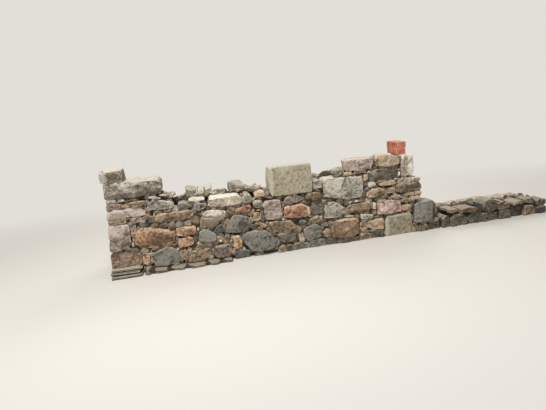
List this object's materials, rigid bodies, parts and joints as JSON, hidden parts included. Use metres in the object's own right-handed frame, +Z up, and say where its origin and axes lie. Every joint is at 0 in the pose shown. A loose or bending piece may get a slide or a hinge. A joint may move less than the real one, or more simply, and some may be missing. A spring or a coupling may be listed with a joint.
{
  "type": "dry stone wall",
  "caption": "Field wall of mixed rough stones laid dry, low in the middle, with larger stones along the top and a low old run beyond its right end.",
  "frame": {"origin": "at the foot, half way along the rebuilt stretch and in the middle of the wall's thickness", "axes": "+X along the wall to the right as seen from its front, +Y into the wall from its front face, +Z up"},
  "size_m": [4.779, 0.548, 1.02],
  "materials": {
    "ochre_stone": "rough, weathered",
    "orange_stone": "rough, iron stained",
    "brown_stone": "rough, weathered",
    "mauve_stone": "rough, weathered",
    "slate": "cleft",
    "grey_stone": "rough, lichened",
    "pale_granite": "coarse grained",
    "backing_stone": "rough",
    "red_brick": "wire cut, matt"
  },
  "bodies": {
    "root": {"base_slabs": "slate", "brick_lower": "red_brick", "brick_upper": "red_brick", "brown_foot_stones": "brown_stone", "brown_stones": "brown_stone", "dark_cap_stone": "slate", "dark_corner_block": "slate", "dark_foot_stones": "slate", "dark_slate_boulder": "slate", "flat_cap_stone": "mauve_stone", "foot_stones": "slate", "footing_stones": "slate", "granite_block": "pale_granite", "granite_foot_block": "pale_granite", "grey_stones": "grey_stone", "heap_stones": "backing_stone", "hearting": "backing_stone", "long_brown_stones": "brown_stone", "long_cap_stone": "grey_stone", "loose_cap_stone": "grey_stone", "ochre_stones": "ochre_stone", "old_hearting": "backing_stone", "old_rear_stones": "backing_stone", "old_wall_stones": "slate", "orange_foot_block": "orange_stone", "orange_stone": "orange_stone", "pale_end_stones": "pale_granite", "pale_long_stone": "pale_granite", "pink_blocks": "mauve_stone", "quoin_bottom": "brown_stone", "quoin_lower": "mauve_stone", "quoin_upper_stones": "mauve_stone", "rear_cap_stones": "backing_stone", "rear_lower_stones": "backing_stone", "rear_upper_stones": "backing_stone", "round_topped_boulder": "grey_stone", "shoulder_stone": "ochre_stone", "slate_block": "slate", "slate_boulder": "slate", "slate_face_stones": "slate", "small_stones_left": "brown_stone", "small_stones_middle": "brown_stone", "small_stones_right": "brown_stone", "tan_blocks": "ochre_stone", "tan_cap_stone": "ochre_stone", "upright_end_stone": "mauve_stone", "white_topped_stone": "pale_granite", "yellow_stones": "ochre_stone"}
  },
  "joints": []
}
